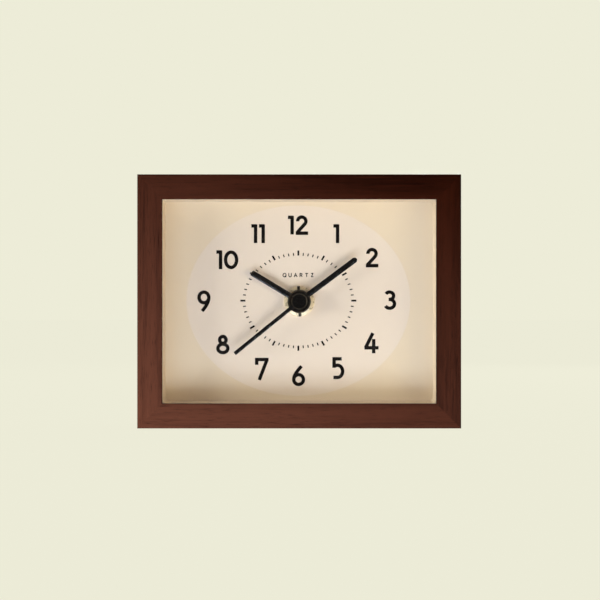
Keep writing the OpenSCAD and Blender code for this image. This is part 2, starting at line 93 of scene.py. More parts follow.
def arc(centre, radii, start, end, steps=24):
    """Points on an ellipse from start to end, in degrees anticlockwise from +x."""
    points = []
    for i in range(steps + 1):
        angle = math.radians(start + (end - start) * i / steps)
        points.append((centre[0] + radii[0] * math.cos(angle), centre[1] + radii[1] * math.sin(angle)))
    return points


def bend(start, control, end, steps=16):
    """Points on a quadratic curve."""
    points = []
    for i in range(steps + 1):
        t = i / steps
        weights = ((1 - t) ** 2, 2 * t * (1 - t), t * t)
        points.append(tuple(
            sum(w * p[axis] for w, p in zip(weights, (start, control, end))) for axis in (0, 1)
        ))
    return points


def rounded_rectangle(half_x, half_z, radius, steps=8):
    """Points round a rectangle with round corners, from the right side anticlockwise."""
    points = []
    for quarter, (sx, sz) in enumerate(((1, 1), (-1, 1), (-1, -1), (1, -1))):
        corner = (sx * (half_x - radius), sz * (half_z - radius))
        points += arc(corner, (radius, radius), 90 * quarter, 90 * quarter + 90, steps)
    return points


def clock_point(angle, reach):
    """The point at this distance in the direction of a clock angle, clockwise from 12."""
    turn = math.radians(angle)
    return (reach * math.sin(turn), reach * math.cos(turn))


# ---- meshes ----

def new_object(name, mesh_data, material=None):
    """An object in the scene, with this material if one is given."""
    made = bpy.data.objects.new(name, mesh_data)
    bpy.context.scene.collection.objects.link(made)
    if material:
        mesh_data.materials.append(material)
    return made


def mesh_from(name, vertices, faces):
    """A closed mesh with its normals turned outwards."""
    mesh = bpy.data.meshes.new(name)
    mesh.from_pydata(vertices, [], faces)
    shape = bmesh.new()
    shape.from_mesh(mesh)
    bmesh.ops.recalc_face_normals(shape, faces=shape.faces)
    shape.to_mesh(mesh)
    shape.free()
    return mesh


def smooth_by_angle(mesh, degrees=35):
    """Smooth shading, with the edges that turn more than this left sharp."""
    shape = bmesh.new()
    shape.from_mesh(mesh)
    for face in shape.faces:
        face.smooth = True
    for edge in shape.edges:
        edge.smooth = len(edge.link_faces) == 2 and edge.calc_face_angle() < math.radians(degrees)
    shape.to_mesh(mesh)
    shape.free()


def ring_mesh(name, rings, closed=True):
    """Joins rings, each as long as the last, with quads. closed joins the last ring to the first."""
    count = len(rings[0])
    vertices = [point for ring in rings for point in ring]
    faces = []
    for i in range(len(rings) if closed else len(rings) - 1):
        here = i * count
        there = (i + 1) % len(rings) * count
        for j in range(count):
            k = (j + 1) % count
            faces.append((here + j, here + k, there + k, there + j))
    if not closed:
        faces.append(tuple(range(count)))
        faces.append(tuple(range((len(rings) - 1) * count, len(rings) * count)))
    return mesh_from(name, vertices, faces)


def at_depth(outline, y, centre=CENTRE):
    """Places an outline in the plane at this y, round the centre."""
    return [(centre.x + x, y, centre.z + z) for x, z in outline]


def stroke_sides(points, width, closed):
    """The two sides of a line drawn with a square-cut pen of this width."""
    count = len(points)
    sides = ([], [])
    for i, point in enumerate(points):
        here = Vector(point)
        before = Vector(points[i - 1]) if i or closed else None
        after = Vector(points[(i + 1) % count]) if i < count - 1 or closed else None
        arriving = (here - before).normalized() if before else (after - here).normalized()
        leaving = (after - here).normalized() if after else arriving
        along = (arriving + leaving).normalized()
        across = Vector((-along.y, along.x)) * width / 2 / max(0.5, along.dot(arriving))
        sides[0].append(here + across)
        sides[1].append(here - across)
    return sides


def stroke_mesh(name, points, width, front, back, closed=False, centre=CENTRE):
    """A flat solid that follows a line, between two depths."""
    left, right = stroke_sides(points, width, closed)
    rings = [
        [at_depth([left[i]], front, centre)[0], at_depth([left[i]], back, centre)[0],
         at_depth([right[i]], back, centre)[0], at_depth([right[i]], front, centre)[0]]
        for i in range(len(points))
    ]
    return ring_mesh(name, rings, closed)


def united(name, meshes):
    """One mesh from meshes that overlap."""
    objects = [new_object(name + "_part", mesh) for mesh in meshes]
    base = objects[0]
    for other in objects[1:]:
        modifier = base.modifiers.new("unite", "BOOLEAN")
        modifier.operation = "UNION"
        modifier.solver = "EXACT"
        modifier.object = other
    return applied(base, objects[1:])


def applied(base, helpers=()):
    """The object's mesh with its modifiers applied; the object and its helpers are removed."""
    bpy.context.view_layer.update()
    graph = bpy.context.evaluated_depsgraph_get()
    mesh = bpy.data.meshes.new_from_object(base.evaluated_get(graph))
    for made in (base, *helpers):
        bpy.data.objects.remove(made)
    return mesh


def boxes_mesh(name, boxes):
    """Boxes, each given by its middle, its size and its turn about Y in degrees."""
    shape = bmesh.new()
    for middle, size, turn in boxes:
        place = Matrix.Translation(middle) @ Matrix.Rotation(math.radians(turn), 4, "Y")
        bmesh.ops.create_cube(shape, size=1.0, matrix=place @ Matrix.Diagonal((*size, 1.0)))
    mesh = bpy.data.meshes.new(name)
    shape.to_mesh(mesh)
    shape.free()
    return mesh


def cut(mesh, cutter_mesh):
    """The mesh with the cutter's shape taken away."""
    base = new_object("blank", mesh)
    cutter = new_object("cutter", cutter_mesh)
    modifier = base.modifiers.new("cut", "BOOLEAN")
    modifier.operation = "DIFFERENCE"
    modifier.solver = "EXACT"
    modifier.object = cutter
    result = applied(base, [cutter])
    smooth_by_angle(result)
    return result


def joined(name, meshes):
    """One mesh from meshes that stay apart."""
    shape = bmesh.new()
    for mesh in meshes:
        shape.from_mesh(mesh)
    whole = bpy.data.meshes.new(name)
    shape.to_mesh(whole)
    shape.free()
    return whole


# ---- materials ----

class Material:
    """A Principled material, with short calls for the nodes that feed it."""

    def __init__(self, name, colour, roughness, **constants):
        self.data = bpy.data.materials.new(name)
        self.data.use_nodes = True
        self.tree = self.data.node_tree
        self.shader = self.tree.nodes["Principled BSDF"]
        self.place = self.tree.nodes.new("ShaderNodeTexCoord").outputs["Object"]
        self.set("Base Color", (*colour, 1.0))
        self.set("Roughness", roughness)
        for socket, value in constants.items():
            self.set(socket.replace("_", " ").title().replace("Ior", "IOR"), value)

    def set(self, socket, value):
        """Feeds one of the shader's own sockets."""
        self.feed(self.shader.inputs[socket], value)

    def feed(self, socket, value):
        """Links an output to the socket, or sets the socket's own value."""
        if isinstance(value, bpy.types.NodeSocket):
            self.tree.links.new(value, socket)
        else:
            socket.default_value = value

    def node(self, kind, inputs, **settings):
        """A new node with these settings, its inputs fed by name."""
        made = self.tree.nodes.new(kind)
        for name, value in settings.items():
            setattr(made, name, value)
        for name, value in inputs.items():
            self.feed(made.inputs[name], value)
        return made

    def moved(self, shift=(0, 0, 0), scale=(1, 1, 1), turn=(0, 0, 0)):
        """The object's coordinates, shifted, turned and scaled."""
        inputs = {"Vector": self.place, "Location": shift, "Rotation": turn, "Scale": scale}
        return self.node("ShaderNodeMapping", inputs).outputs["Vector"]

    def noise(self, scale, stretch=(1, 1, 1), detail=3.0, roughness=0.5, seed=0.0):
        """Noise from 0 to 1; scale is in features to the metre."""
        place = self.moved(shift=(seed, seed * 0.7, seed * 1.3), scale=stretch)
        inputs = {"Vector": place, "Scale": scale, "Detail": detail, "Roughness": roughness}
        return self.node("ShaderNodeTexNoise", inputs).outputs["Fac"]

    def spread(self, value, low, high, start=0.3, end=0.7):
        """Spreads values from start to end over the range low to high."""
        inputs = {"Value": value, "From Min": start, "From Max": end, "To Min": low, "To Max": high}
        return self.node("ShaderNodeMapRange", inputs).outputs["Result"]

    def math(self, operation, first, second=0.0):
        """The result of a sum on two values."""
        made = self.node("ShaderNodeMath", {}, operation=operation)
        self.feed(made.inputs[0], first)
        self.feed(made.inputs[1], second)
        return made.outputs["Value"]

    def mixed(self, share, first, second):
        """Mixes two colours."""
        made = self.node("ShaderNodeMix", {}, data_type="RGBA")
        self.feed(made.inputs[0], share)
        self.feed(made.inputs[6], first if isinstance(first, bpy.types.NodeSocket) else (*first, 1.0))
        self.feed(made.inputs[7], second if isinstance(second, bpy.types.NodeSocket) else (*second, 1.0))
        return made.outputs[2]

    def ramp(self, value, stops):
        """A colour that runs through stops, each (place, colour)."""
        made = self.node("ShaderNodeValToRGB", {"Fac": value})
        elements = made.color_ramp.elements
        while len(elements) < len(stops):
            elements.new(0.5)
        for element, (position, colour) in zip(elements, stops):
            element.position = position
            element.color = (*colour, 1.0)
        return made.outputs["Color"]

    def bump(self, height, depth):
        """Raises the surface by height times depth, in metres."""
        inputs = {"Height": height, "Distance": depth, "Strength": 1.0}
        if self.shader.inputs["Normal"].is_linked:
            inputs["Normal"] = self.shader.inputs["Normal"].links[0].from_socket
        self.set("Normal", self.node("ShaderNodeBump", inputs).outputs["Normal"])


def shade(colour, factor):
    """A colour made darker or brighter by a factor."""
    return tuple(min(1.0, part * factor) for part in colour)


def moulded(name, colour, roughness, grain=900.0, depth=0.012 * MM, variation=0.08, **constants):
    """Moulded plastic: faint cloudy colour, uneven gloss and a fine skin."""
    made = Material(name, colour, roughness, **constants)
    clouds = made.noise(90.0, detail=4.0)
    made.set("Base Color", made.mixed(clouds, shade(colour, 1 - variation), shade(colour, 1 + variation)))
    skin = made.noise(grain, detail=2.0, seed=0.3)
    made.set("Roughness", made.spread(skin, roughness * 0.88, roughness * 1.12))
    made.bump(skin, depth)
    return made


def metal(name, colour, roughness, stretch=(1, 1, 1), grain=1500.0, depth=0.004 * MM, variation=0.12):
    """Bare metal with tool marks along the unstretched axes and a slight tarnish."""
    made = Material(name, colour, roughness, metallic=1.0)
    tarnish = made.noise(140.0, detail=4.0, seed=0.5)
    made.set("Base Color", made.mixed(tarnish, shade(colour, 1 - variation), shade(colour, 1 + variation)))
    marks = made.noise(grain, stretch=stretch, detail=3.0)
    made.set("Roughness", made.spread(marks, roughness * 0.75, roughness * 1.3))
    made.bump(marks, depth)
    return made


def wood(name, along, dark, light, seed, gloss, pores=1.0):
    """Wood with its grain along one axis: broad bands, fine fibres and short dark pores."""
    def stretch(lengthways, crossways):
        return tuple(lengthways if axis == along else crossways for axis in range(3))

    made = Material(name, light, gloss)
    bands = made.noise(1.0, stretch=stretch(6.0, 110.0), detail=4.0, seed=seed)
    fibres = made.noise(1.0, stretch=stretch(45.0, 1500.0), detail=4.0, roughness=0.65, seed=seed + 2)
    pore_noise = made.noise(1.0, stretch=stretch(220.0, 3600.0), detail=2.0, seed=seed + 5)
    pore = made.spread(pore_noise, 0.0, 1.0, 0.60, 0.70)
    figure = made.math("ADD", made.math("MULTIPLY", bands, 0.6), made.math("MULTIPLY", fibres, 0.4))
    stops = [(0.0, dark), (0.55, shade(light, 0.8)), (1.0, light)]
    tone = made.ramp(made.spread(figure, 0.0, 1.0, 0.36, 0.64), stops)
    made.set("Base Color", made.mixed(made.math("MULTIPLY", pore, 0.55 * pores), tone, shade(dark, 0.5)))
    made.set("Roughness", made.spread(fibres, gloss * 0.85, gloss * 1.2))
    made.bump(fibres, 0.012 * MM)
    made.bump(made.math("MULTIPLY", pore, -1.0), 0.02 * MM * pores)
    return made


def walnut(name, along, seed):
    """Dark reddish stain under a satin varnish."""
    made = wood(name, along, (0.0070, 0.0012, 0.0004), (0.028, 0.0045, 0.0012), seed, gloss=0.32)
    made.set("Specular IOR Level", 0.12)
    return made


def window_glass():
    """Clear glass that lets the light through to the dial."""
    made = Material("window_glass", (0.985, 0.995, 0.99), 0.0, transmission_weight=1.0, ior=1.45)
    path = made.node("ShaderNodeLightPath", {})
    passing = made.math("MAXIMUM", path.outputs["Is Shadow Ray"], path.outputs["Is Diffuse Ray"])
    clear = made.node("ShaderNodeBsdfTransparent", {})
    choose = made.node("ShaderNodeMixShader", {"Fac": passing})
    made.feed(choose.inputs[1], made.shader.outputs["BSDF"])
    made.feed(choose.inputs[2], clear.outputs["BSDF"])
    made.feed(made.tree.nodes["Material Output"].inputs["Surface"], choose.outputs["Shader"])
    return made


def dial_plastic():
    """Smooth cream plastic."""
    return moulded("dial_plastic", (0.72, 0.60, 0.445), 0.5, grain=1400.0, depth=0.006 * MM, variation=0.015)


def oval_print():
    """The lighter oval printed on the dial."""
    return moulded("oval_print", (0.738, 0.634, 0.53), 0.55, grain=1600.0, depth=0.004 * MM, variation=0.01)


def black_ink():
    """Matt ink that reflects almost nothing."""
    made = moulded("black_ink", (0.004, 0.0025, 0.0018), 0.6, grain=2500.0, depth=0.003 * MM)
    made.set("Specular IOR Level", 0.08)
    return made


def hand_black():
    """Black lacquer on thin metal: a soft body under a clear gloss."""
    made = moulded("hand_black", (0.003, 0.0028, 0.0025), 0.45, grain=2200.0, depth=0.002 * MM)
    made.set("Specular IOR Level", 0.02)
    made.set("Coat Weight", 1.0)
    made.set("Coat Roughness", 0.12)
    made.set("Coat IOR", 1.75)
    return made


def brass(name="brass", roughness=0.24):
    """Turned brass: rings round the hands' axis."""
    made = metal(name, (0.88, 0.73, 0.48), roughness, grain=500.0, depth=0.001 * MM, variation=0.05)
    rings = made.node("ShaderNodeTexWave", {
        "Vector": made.moved(shift=(0.0, 0.0, -CENTRE.z)), "Scale": 900.0, "Distortion": 0.6, "Detail": 2.0,
    }, wave_type="RINGS", rings_direction="Y").outputs["Fac"]
    made.bump(rings, 0.001 * MM)
    return made


def nut_brass():
    """Lacquered brass, with painted shade, near black, inside the two spanner slots."""
    made = brass("nut_brass", 0.3)
    made.set("Coat Weight", 1.0)
    made.set("Coat Roughness", 0.2)
    made.set("Coat IOR", 1.9)
    # Painted shade: inside the slots, below the nut's face, the colour is near black and the metal has no
    # shine.
    place = made.node("ShaderNodeSeparateXYZ", {"Vector": made.moved(shift=(0.0, 0.0, -CENTRE.z))}).outputs
    lean = made.math("MULTIPLY", place["Z"], math.tan(math.radians(SLOT_LEAN)))
    across = made.math("ABSOLUTE", made.math("ADD", place["X"], lean))
    near_slot = made.math("LESS_THAN", across, SLOT_SIZE[0] / 2 + 0.1 * MM)
    below_face = made.math("GREATER_THAN", place["Y"], nut_low.y + 0.15 * MM)
    inside = made.math("MULTIPLY", near_slot, below_face)
    unshaded_brass = made.shader.inputs["Base Color"].links[0].from_socket
    made.set("Base Color", made.mixed(inside, unshaded_brass, (0.03, 0.02, 0.012)))
    made.set("Metallic", made.math("MULTIPLY", made.math("SUBTRACT", 1.0, inside), 0.5))
    return made


def cover_plastic():
    """Black plastic with a coarse spark-eroded skin."""
    colour = (0.022, 0.021, 0.021)
    made = moulded("cover_plastic", colour, 0.52, grain=1100.0, depth=0.03 * MM, variation=0.15)
    made.bump(made.noise(3500.0, detail=2.0, seed=0.9), 0.015 * MM)
    return made


def board_laminate():
    """Green lacquer over glass cloth, with faint copper tracks that show through it."""
    made = moulded("board_laminate", (0.035, 0.16, 0.075), 0.32, grain=2600.0, depth=0.01 * MM)
    tracks = made.node("ShaderNodeTexBrick", {
        "Vector": made.moved(turn=(math.radians(90), 0, 0)), "Scale": 1.0,
        "Color1": (0.045, 0.19, 0.085, 1), "Color2": (0.035, 0.16, 0.075, 1), "Mortar": (0.03, 0.13, 0.06, 1),
        "Mortar Size": 0.00012, "Mortar Smooth": 0.6, "Brick Width": 0.0097, "Row Height": 0.0008,
    })
    made.set("Base Color", tracks.outputs["Color"])
    made.bump(tracks.outputs["Fac"], 0.02 * MM)
    return made


def copper_wire():
    """Fine lacquered wire, wound round the X axis, with painted shade in the grooves between the turns."""
    made = metal("copper_wire", (0.72, 0.30, 0.14), 0.3)
    turns = made.node("ShaderNodeTexWave", {
        "Vector": made.place, "Scale": 1100.0, "Distortion": 0.25, "Detail": 1.0,
    }, wave_type="BANDS", bands_direction="X").outputs["Fac"]
    # Painted shade: the colour is darkest in the grooves between the turns, where the bump is lowest.
    made.set("Base Color", made.mixed(turns, (0.30, 0.09, 0.035), (0.80, 0.36, 0.17)))
    made.bump(turns, 0.05 * MM)
    return made


# On the cell, as distances along X: where its golden end starts, and the pale stripe's middle and half width
GOLD_START = 11.9 * MM
STRIPE_MIDDLE = 9.5 * MM
STRIPE_HALF = 0.65 * MM
SOFT_EDGE = 0.1 * MM


def cell_film():
    """Shrink film on the cell: a dark body, a golden end and a pale stripe before it."""
    made = moulded("cell_film", (0.10, 0.16, 0.18), 0.28, grain=700.0, depth=0.01 * MM)
    along = made.node("ShaderNodeSeparateXYZ", {"Vector": made.place}).outputs["X"]
    golden = made.spread(along, 0.0, 1.0, GOLD_START - SOFT_EDGE, GOLD_START + SOFT_EDGE)
    off_stripe = made.math("ABSOLUTE", made.math("SUBTRACT", along, STRIPE_MIDDLE))
    stripe = made.spread(off_stripe, 1.0, 0.0, STRIPE_HALF - SOFT_EDGE / 2, STRIPE_HALF + SOFT_EDGE / 2)
    body = made.mixed(golden, (0.05, 0.085, 0.10), (0.62, 0.40, 0.14))
    made.set("Base Color", made.mixed(stripe, body, (0.70, 0.70, 0.68)))
    return made


def make_materials():
    """One material for each slot of the record."""
    natural = {"grain": 1200.0, "depth": 0.008 * MM, "variation": 0.03, "subsurface_weight": 0.15,
               "subsurface_radius": (0.0006, 0.0006, 0.0005)}
    return {
        "pale_wood": wood("pale_wood", 1, (0.42, 0.26, 0.13), (0.66, 0.47, 0.27), 3.0, gloss=0.6, pores=0.4),
        "window_glass": window_glass(),
        "dial_plastic": dial_plastic(),
        "cover_plastic": cover_plastic(),
        "case_plastic": moulded("case_plastic", (0.028, 0.028, 0.03), 0.4, variation=0.12),
        "brass": brass(),
        "washer_rubber": moulded("washer_rubber", (0.025, 0.025, 0.025), 0.75, grain=2500.0, depth=0.02 * MM),
        "gear_plastic": moulded("gear_plastic", (0.80, 0.80, 0.76), 0.3, **natural),
        "gear_plastic_amber": moulded("gear_plastic_amber", (0.72, 0.55, 0.30), 0.3, **natural),
        "motor_iron": metal("motor_iron", (0.52, 0.53, 0.55), 0.38, stretch=(1, 1, 12)),
        "bobbin_plastic": moulded("bobbin_plastic", (0.05, 0.22, 0.09), 0.36),
        "copper_wire": copper_wire(),
        "screw_steel": metal("screw_steel", (0.62, 0.63, 0.64), 0.26, grain=2500.0),
        "board_laminate": board_laminate(),
        "chip_resin": moulded("chip_resin", (0.012, 0.012, 0.013), 0.12, grain=400.0, depth=0.04 * MM),
        "can_steel": metal("can_steel", (0.78, 0.79, 0.81), 0.14, stretch=(0.2, 1, 1), grain=2500.0),
        "contact_spring": metal("contact_spring", (0.74, 0.74, 0.71), 0.24, stretch=(0.1, 1, 1)),
        "cell_can": metal("cell_can", (0.76, 0.77, 0.79), 0.2, stretch=(0.1, 1, 1)),
        "cell_film": cell_film(),
        "magnet": moulded("magnet", (0.06, 0.06, 0.065), 0.5, grain=3000.0, depth=0.03 * MM, metallic=0.6),
        "hand_black": hand_black(),
    }


def dress_cad_nodes(materials):
    """Gives each CAD node the material of its slot."""
    for part in frame["record"]["subparts"]:
        slot = part["material_slot"]
        if slot in materials:
            shown = frame["nodes"][part["node"]]
            shown.data.materials.clear()
            shown.data.materials.append(materials[slot].data)


# ---- wooden frame ----

EDGE_ROUND = 0.45 * MM
LIP_ROUND = 0.3 * MM
SPLINE_LONG = 6.0 * MM
SPLINE_THICK = 1.5 * MM


def rail_profile(outer, window, rebate):
    """The rail's section as (distance from the clock's middle, y), round at its outer and lip edges."""
    def corner(distance, y, start, radius=EDGE_ROUND):
        """A round corner whose centre is at this point, over 90 degrees from start."""
        return arc((distance, y), (radius, radius), start, start + 90, 5)

    front, back = case_low.y, case_high.y
    profile = corner(outer - EDGE_ROUND, back - EDGE_ROUND, 0)
    profile += corner(rebate + LIP_ROUND, back - LIP_ROUND, 90, LIP_ROUND)
    profile += [(rebate, LIP_BACK), (window, LIP_BACK)]
    profile += corner(window + LIP_ROUND, front + LIP_ROUND, 180, LIP_ROUND)
    profile += corner(outer - EDGE_ROUND, front + EDGE_ROUND, 270)
    return profile


def make_rail(name, half_long, outer, window, rebate, turn, material):
    """A rail with mitred ends, made for the top and turned to its side about Y."""
    profile = rail_profile(outer, window, rebate)
    rings = [
        [(side * (half_long - (outer - distance)), y, distance) for distance, y in profile]
        for side in (-1, 1)
    ]
    mesh = ring_mesh(name, rings, closed=False)
    mesh.transform(Matrix.Translation(CENTRE) @ Matrix.Rotation(math.radians(turn), 4, "Y"))
    rail = new_object(name, cut(mesh, spline_slots()), material.data)
    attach(rail, "case")
    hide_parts(name[: -len("_wood")])
    return rail


def spline_slots():
    """The slots of the four mitre splines, as boxes that lie across the corners."""
    spline_low, spline_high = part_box("mitre_splines")
    reach = (SPLINE_LONG + SPLINE_THICK) / 2 * math.sqrt(0.5)
    size = (SPLINE_LONG, spline_high.y - spline_low.y, SPLINE_THICK)
    across = spline_high.x - reach
    upright = spline_high.z - CENTRE.z - reach
    depth = (spline_low.y + spline_high.y) / 2
    return boxes_mesh("spline_slots", [
        (CENTRE + Vector((sx * across, depth, sz * upright)), size, 45 * sx * sz)
        for sx in (-1, 1) for sz in (-1, 1)
    ])


def make_frame():
    """The four mitred rails, each with its own piece of wood."""
    half_w, half_h = case_high.x, case_high.z - CENTRE.z
    level = (half_w, half_h, WINDOW_HALF.z, REBATE_HALF.z)
    upright = (half_h, half_w, WINDOW_HALF.x, REBATE_HALF.x)
    rails = (
        ("top_rail_wood", level, 0, 0, 11.0), ("right_rail_wood", upright, 90, 2, 23.0),
        ("bottom_rail_wood", level, 180, 0, 37.0), ("left_rail_wood", upright, 270, 2, 41.0),
    )
    return [
        make_rail(name, *sizes, turn, walnut(name.replace("wood", "stain"), along, seed))
        for name, sizes, turn, along, seed in rails
    ]


# ---- dial ----

# The tray's walls lean inwards by TRAY_LEAN from rim to floor
TRAY_CORNER = 1.5 * MM
TRAY_WALL = 1.5 * MM
TRAY_LEAN = 0.65 * MM
RIM_SET_BACK = 0.1 * MM
RIM_ROUND = 0.15 * MM
FLANGE_THICK = 2.0 * MM
FOOT_ROUND = 0.25 * MM
TRAY_HOLE_R = 3.95 * MM


def make_tray(material):
    """A moulded tray: a flange behind the glass, leaning walls and a flat floor with a hole for the bush."""
    open_x = WINDOW_HALF.x + RIM_SET_BACK
    open_z = WINDOW_HALF.z + RIM_SET_BACK
    flange = tray_high.x - open_x

    def outline(inset):
        """The rim's outline moved inwards, or outwards where inset is negative."""
        return rounded_rectangle(open_x - inset, open_z - inset, TRAY_CORNER - min(inset, 0.0))

    # The section as (inset, y): the flange, the rim, the wall and its foot, then the outside
    inside = [(-flange, RIM_FRONT + FLANGE_THICK), (-flange, RIM_FRONT)]
    inside += arc((-RIM_ROUND, RIM_FRONT + RIM_ROUND), (RIM_ROUND, RIM_ROUND), -90, 0, 4)
    inside += arc((TRAY_LEAN + FOOT_ROUND, DIAL_FACE - FOOT_ROUND), (FOOT_ROUND, FOOT_ROUND), 180, 90, 6)
    outside = [(TRAY_LEAN - TRAY_WALL, DIAL_BACK), (-TRAY_WALL, RIM_FRONT + FLANGE_THICK)]
    directions = [math.atan2(z, x) for x, z in outline(0.0)]
    bore = [(TRAY_HOLE_R * math.cos(a), TRAY_HOLE_R * math.sin(a)) for a in directions]
    rings = [at_depth(outline(inset), y) for inset, y in inside]
    rings += [at_depth(bore, DIAL_FACE), at_depth(bore, DIAL_BACK)]
    rings += [at_depth(outline(inset), y) for inset, y in outside]
    mesh = ring_mesh("dial_tray_shell", rings)
    smooth_by_angle(mesh)
    tray = new_object("dial_tray_shell", mesh, material.data)
    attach(tray, "case")
    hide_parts("dial_tray")


# Printing stands this far off the dial, and the ink as far off the oval
PRINT = 0.02 * MM
OVAL_FRONT = DIAL_FACE - PRINT
INK_FRONT = OVAL_FRONT - PRINT
# The printing is slightly off the hands' axis, as in the photograph
PRINT_CENTRE = CENTRE + Vector((-0.35, 0.0, 0.3)) * MM
OVAL_HALF = (45.5 * MM, 38.7 * MM)
OVAL_HOLE_R = 4.2 * MM


def make_oval(material):
    """The lighter oval, with a hole for the bush."""
    steps = 256
    edge = arc((0, 0), OVAL_HALF, 0, 360, steps)[:-1]
    hole = arc((0, 0), (OVAL_HOLE_R, OVAL_HOLE_R), 0, 360, steps)[:-1]
    rings = [
        at_depth(edge, DIAL_FACE, PRINT_CENTRE), at_depth(edge, OVAL_FRONT, PRINT_CENTRE),
        at_depth(hole, OVAL_FRONT), at_depth(hole, DIAL_FACE),
    ]
    oval = new_object("printed_oval", ring_mesh("printed_oval", rings), material.data)
    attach(oval, "case")


# The pen's width and each digit's strokes, in millimetres from the middle of the digit: (points, closed)
PEN = 1.42
DIGITS = {
    "0": [(arc((0, 0), (2.25, 3.1), 0, 360, 48)[:-1], True)],
    "1": [([(0.56, -3.8), (0.56, 3.8)], False), ([(-1.16, 3.19), (0.9, 3.19)], False)],
    "2": [
        (arc((-0.06, 1.6), (1.68, 1.68), 183, -42, 30) + [(-1.9, -2.95)], False),
        ([(-2.54, -3.27), (2.54, -3.27)], False),
    ],
    "3": [
        (arc((-0.04, 1.78), (1.68, 1.5), 150, -90, 30) + [(-0.35, 0.28)], False),
        ([(-0.4, 0.28)] + arc((0.04, -1.5), (1.95, 1.78), 90, -152, 30), False),
    ],
    "4": [
        ([(0.55, 4.13), (-2.45, -1.9)], False),
        ([(-2.87, -1.87), (2.87, -1.87)], False),
        ([(0.88, 1.7), (0.88, -4.13)], False),
    ],
    "5": [
        ([(-2.24, 3.84), (1.44, 3.84)], False),
        ([(-1.67, 4.44), (-1.67, 0.2)], False),
        (arc((-0.3, -1.25), (2.1, 2.48), 126, -90, 30) + [(-1.95, -3.73)], False),
    ],
    "6": [
        (arc((0, -1.48), (1.97, 1.97), 0, 360, 48)[:-1], True),
        (bend((1.2, 3.95), (-1.97, 0.6), (-1.97, -1.48)), False),
    ],
    "7": [
        ([(-2.71, 3.86), (2.71, 3.86)], False),
        ([(-2.14, 4.45), (-2.14, 1.69)], False),
        ([(2.1, 3.95), (-1.1, -4.45)], False),
    ],
    "8": [
        (arc((0, 1.83), (1.3, 1.4), 0, 360, 40)[:-1], True),
        (arc((0, -1.61), (2.03, 1.72), 0, 360, 48)[:-1], True),
    ],
    "9": [
        (arc((0, 1.5), (1.98, 2.15), 0, 360, 48)[:-1], True),
        (bend((1.98, 1.5), (1.98, -0.9), (-0.75, -4.05)), False),
    ],
}

# Where each number stands from the middle of the dial, in millimetres, and its digits' own places
NUMBERS = {
    "12": (-0.1, 30.7, (-3.0, 1.55)), "1": (15.4, 27.2, (0,)), "2": (30.0, 17.5, (0,)),
    "3": (37.1, 0.2, (0,)), "4": (29.75, -17.3, (0,)), "5": (16.2, -27.5, (0,)),
    "6": (0.1, -30.6, (0,)), "7": (-14.8, -27.8, (0,)), "8": (-30.7, -17.8, (0,)),
    "9": (-38.4, -0.2, (0,)), "10": (-28.9, 16.6, (-3.3, 1.55)), "11": (-16.4, 27.2, (-1.55, 1.55)),
}


def glyph_mesh(strokes, pen, middle, front, back):
    """A glyph's strokes, given in millimetres round a middle, as one solid between two depths."""
    meshes = []
    for points, closed in strokes:
        line = [(x * MM, z * MM) for x, z in points]
        meshes.append(stroke_mesh("stroke", line, pen * MM, front, back, closed, middle))
    return united("glyph", meshes) if len(meshes) > 1 else meshes[0]


def ink_glyph(strokes, pen, x, z):
    """A printed glyph round the point x, z in millimetres from the middle of the dial."""
    return glyph_mesh(strokes, pen, PRINT_CENTRE + Vector((x, 0.0, z)) * MM, INK_FRONT, OVAL_FRONT)


def printed(name, meshes, material):
    """One piece of printing on the dial."""
    piece = new_object(name, joined(name, meshes), material.data)
    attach(piece, "case")
    return piece


def make_numbers(material):
    """The twelve numbers."""
    meshes = []
    for number, (x, z, places) in NUMBERS.items():
        for digit, shift in zip(number, places):
            meshes.append(ink_glyph(DIGITS[digit], PEN, x + shift, z))
    printed("printed_numbers", meshes, material)


# A generic word in small spaced capitals under the 12, in millimetres, and its letters as strokes
WORD = "QUARTZ"
WORD_PEN = 0.36
WORD_PITCH = 2.25
WORD_HEIGHT = 10.4
LETTERS = {
    "Q": [(arc((0, 0), (0.62, 0.74), 0, 360, 32)[:-1], True), ([(0.15, -0.3), (0.66, -0.86)], False)],
    "U": [([(-0.5, 0.8)] + arc((0, -0.2), (0.5, 0.54), 180, 360, 16) + [(0.5, 0.8)], False)],
    "A": [([(-0.62, -0.8), (0, 0.7), (0.62, -0.8)], False), ([(-0.42, -0.3), (0.42, -0.3)], False)],
    "R": [
        ([(-0.45, -0.8), (-0.45, 0.8)], False),
        ([(-0.45, 0.68), (0, 0.68)] + arc((0, 0.33), (0.38, 0.35), 80, -90, 12) + [(-0.45, -0.02)], False),
        ([(-0.05, 0.0), (0.45, -0.8)], False),
    ],
    "T": [([(-0.58, 0.67), (0.58, 0.67)], False), ([(0, 0.7), (0, -0.8)], False)],
    "Z": [([(-0.5, 0.67), (0.4, 0.67)], False), ([(0.42, 0.72), (-0.42, -0.72)], False),
          ([(-0.4, -0.67), (0.52, -0.67)], False)],
}


def make_word(material):
    """The word, centred on the dial's upright middle line."""
    first = -WORD_PITCH * (len(WORD) - 1) / 2
    meshes = [
        ink_glyph(LETTERS[letter], WORD_PEN, first + WORD_PITCH * i, WORD_HEIGHT)
        for i, letter in enumerate(WORD)
    ]
    printed("printed_word", meshes, material)


# The half sizes of the oval that the marks start from, and each mark's length and width, in millimetres
TRACK_HALF = (21.5, 18.3)
MINUTE_MARK = (1.15, 0.45)
HOUR_MARK = (2.1, 0.75)


